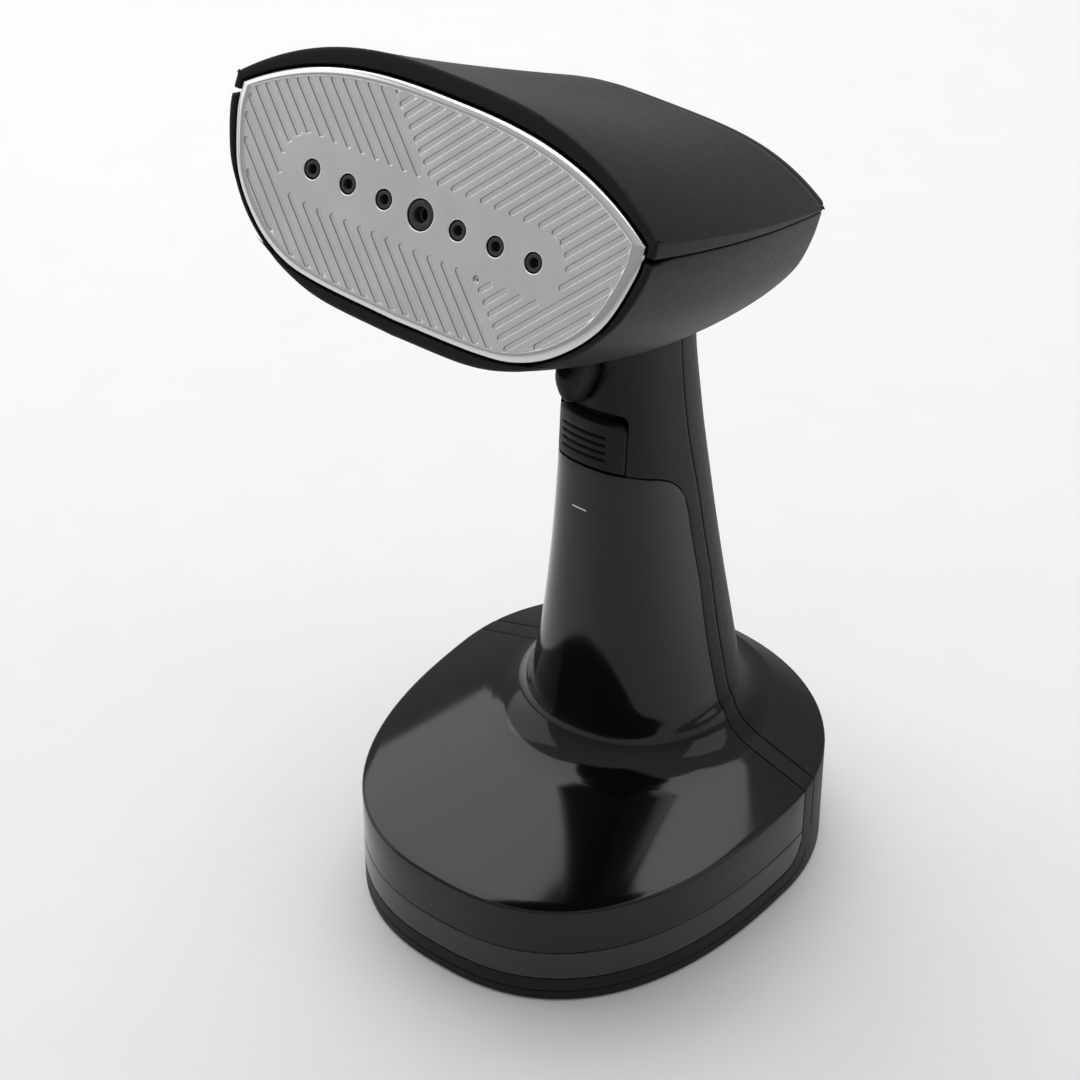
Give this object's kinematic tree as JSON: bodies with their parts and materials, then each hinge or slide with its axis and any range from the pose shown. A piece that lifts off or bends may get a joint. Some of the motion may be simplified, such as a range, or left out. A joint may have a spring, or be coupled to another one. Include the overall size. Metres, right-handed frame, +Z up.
{
  "type": "garment steamer",
  "caption": "Handheld garment steamer with a tilted wide steam plate, slim handle, steam trigger and a slide-off water tank that forms the front of its standing base.",
  "frame": {"origin": "on the ground, under the middle of the object's box, between the four feet", "axes": "+Z up, -Y the front that the steam plate faces, +X the right-hand side seen from the front"},
  "size_m": [0.132, 0.1596, 0.2897],
  "materials": {
    "casing": "fine matt moulded texture, charcoal black",
    "inner_plastic": "plain moulded",
    "smoked_tank": "glossy smoked black, near opaque",
    "tank_tray": "glossy smoked grey",
    "rubber": "matt",
    "nozzle_insert": "satin",
    "silicone": "satin",
    "steam_plate": "bead-blasted satin with polished rim and pressed grooves",
    "cast_aluminium": "as cast",
    "steel": "plated",
    "ceramic": "glazed sleeve",
    "heat_shield": "mineral-filled heat-resistant plastic",
    "pump_body": "plain",
    "circuit_board": "green lacquer",
    "wire": "silicone sleeving",
    "light_lens": "diffusing"
  },
  "bodies": {
    "housing": {"steam_plate": "steam_plate", "nozzle_1": "nozzle_insert", "nozzle_2": "nozzle_insert", "nozzle_3": "nozzle_insert", "nozzle_4": "nozzle_insert", "nozzle_5": "nozzle_insert", "nozzle_6": "nozzle_insert", "nozzle_7": "nozzle_insert", "plate_gasket": "silicone", "steam_chamber": "cast_aluminium", "chamber_lid": "cast_aluminium", "chamber_screw_1": "steel", "chamber_screw_2": "steel", "chamber_screw_3": "steel", "chamber_screw_4": "steel", "heating_element": "steel", "thermostat": "steel", "thermal_fuse": "ceramic", "heat_shield": "heat_shield", "top_cover": "casing", "head_casing": "casing", "front_housing": "casing", "rear_cover": "casing", "base_plate": "inner_plastic", "foot_1": "rubber", "foot_2": "rubber", "foot_3": "rubber", "foot_4": "rubber", "cover_screw_1": "steel", "cover_screw_2": "steel", "cover_screw_3": "steel", "cover_screw_4": "steel", "base_screw_1": "steel", "base_screw_2": "steel", "base_screw_3": "steel", "base_screw_4": "steel", "tank_socket": "rubber", "latch_spring": "steel", "trigger_pin": "steel", "trigger_spring": "steel", "microswitch": "inner_plastic", "water_pump": "pump_body", "pump_mount_1": "rubber", "pump_mount_2": "rubber", "inlet_hose": "silicone", "outlet_hose": "silicone", "circuit_board": "circuit_board", "heater_wire_1": "wire", "heater_wire_2": "wire", "cord_gland": "rubber", "cord_clamp": "inner_plastic", "ready_light": "light_lens"},
    "tank": {"water_tank": "smoked_tank", "tank_tray": "tank_tray", "outlet_valve": "silicone"},
    "plug": {"filler_plug": "rubber"},
    "latch": {"latch_button": "casing"},
    "trigger": {"trigger": "casing"}
  },
  "joints": [
    {"name": "tank_slide", "type": "slide", "parent": "housing", "child": "tank", "axis": [0, -1, 0], "range_m": [0, 0.11]},
    {"name": "plug_pull", "type": "slide", "parent": "tank", "child": "plug", "axis": [0, 1, 0], "range_m": [0, 0.008]},
    {"name": "latch_lift", "type": "slide", "parent": "housing", "child": "latch", "axis": [0, 0, 1], "range_m": [0, 0.003], "stiffness_N_per_m": 300, "springref_m": -0.002, "deforming": ["latch_spring"]},
    {"name": "trigger_pivot", "type": "hinge", "parent": "housing", "child": "trigger", "pos_m": [0, 0.00743, 0.187], "axis": [1, 0, 0], "range_deg": [0, 8], "stiffness_Nm_per_rad": 0.15, "springref_deg": -5.73, "deforming": ["trigger_spring"]}
  ]
}
